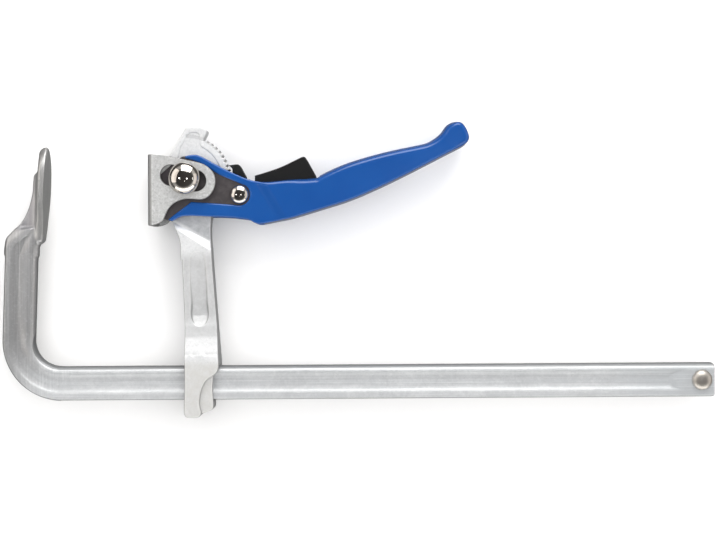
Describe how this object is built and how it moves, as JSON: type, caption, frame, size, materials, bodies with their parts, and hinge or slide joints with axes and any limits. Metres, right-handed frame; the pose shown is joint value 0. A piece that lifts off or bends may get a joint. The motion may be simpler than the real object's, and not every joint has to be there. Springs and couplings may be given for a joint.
{
  "type": "quick release bar clamp",
  "caption": "All-steel bar clamp with a sliding arm, a cam pressure plate and a ratchet lever with a release trigger.",
  "frame": {"origin": "middle of the fixed jaw's clamping face, in the middle plane of the bar's thickness", "axes": "+X along the bar from the fixed jaw towards the free end, +Y from the bar towards the jaw tips, +Z along the pins and rivets, up from the surface that the clamp lies on"},
  "size_m": [0.4972, 0.2042, 0.0468],
  "materials": {
    "zinc_steel": "satin zinc-plated forging",
    "plate_steel": "matte zinc-plated sheet",
    "polished_steel": "polished nickel",
    "inner_steel": "plain ground steel",
    "dark_steel": "dark phosphated steel",
    "blue_moulding": "smooth blue nylon",
    "black_moulding": "fine textured black nylon"
  },
  "bodies": {
    "bar": {"clamp_bar": "zinc_steel", "end_stop_rivet": "polished_steel"},
    "arm": {"sliding_arm": "zinc_steel", "pivot_rivet": "polished_steel", "pivot_sleeve": "inner_steel", "pivot_washers": "inner_steel"},
    "plate": {"pressure_plate": "plate_steel"},
    "lever": {"lever_cheek_front": "dark_steel", "lever_cheek_rear": "dark_steel", "lever_handle": "blue_moulding", "cheek_spacers": "inner_steel", "pawl_rivet": "polished_steel", "pawl_bush": "inner_steel", "pawl_spring": "inner_steel"},
    "pawl": {"ratchet_pawl": "dark_steel", "release_trigger": "black_moulding", "trigger_pin": "inner_steel"}
  },
  "joints": [
    {"name": "arm_slide", "type": "slide", "parent": "bar", "child": "arm", "axis": [1, 0, 0], "range_m": [-0.062, 0.332]},
    {"name": "lever_swing", "type": "hinge", "parent": "arm", "child": "lever", "pos_m": [0.0981, 0.0065, 0], "axis": [0, 0, 1], "range_deg": [-34.17, 41]},
    {"name": "plate_press", "type": "slide", "parent": "arm", "child": "plate", "axis": [-0.9744, 0.225, 0], "range_m": [-0.0077, 0.0064]},
    {"name": "pawl_release", "type": "hinge", "parent": "lever", "child": "pawl", "pos_m": [0.1355, -0.0046, 0], "axis": [0, 0, 1], "range_deg": [-8, 4.75], "stiffness_Nm_per_rad": 0.2, "springref_deg": 4.75}
  ],
  "couplings": [
    {"joint": "plate_press", "follows": "lever_swing", "m_per_rad": -0.0106}
  ]
}
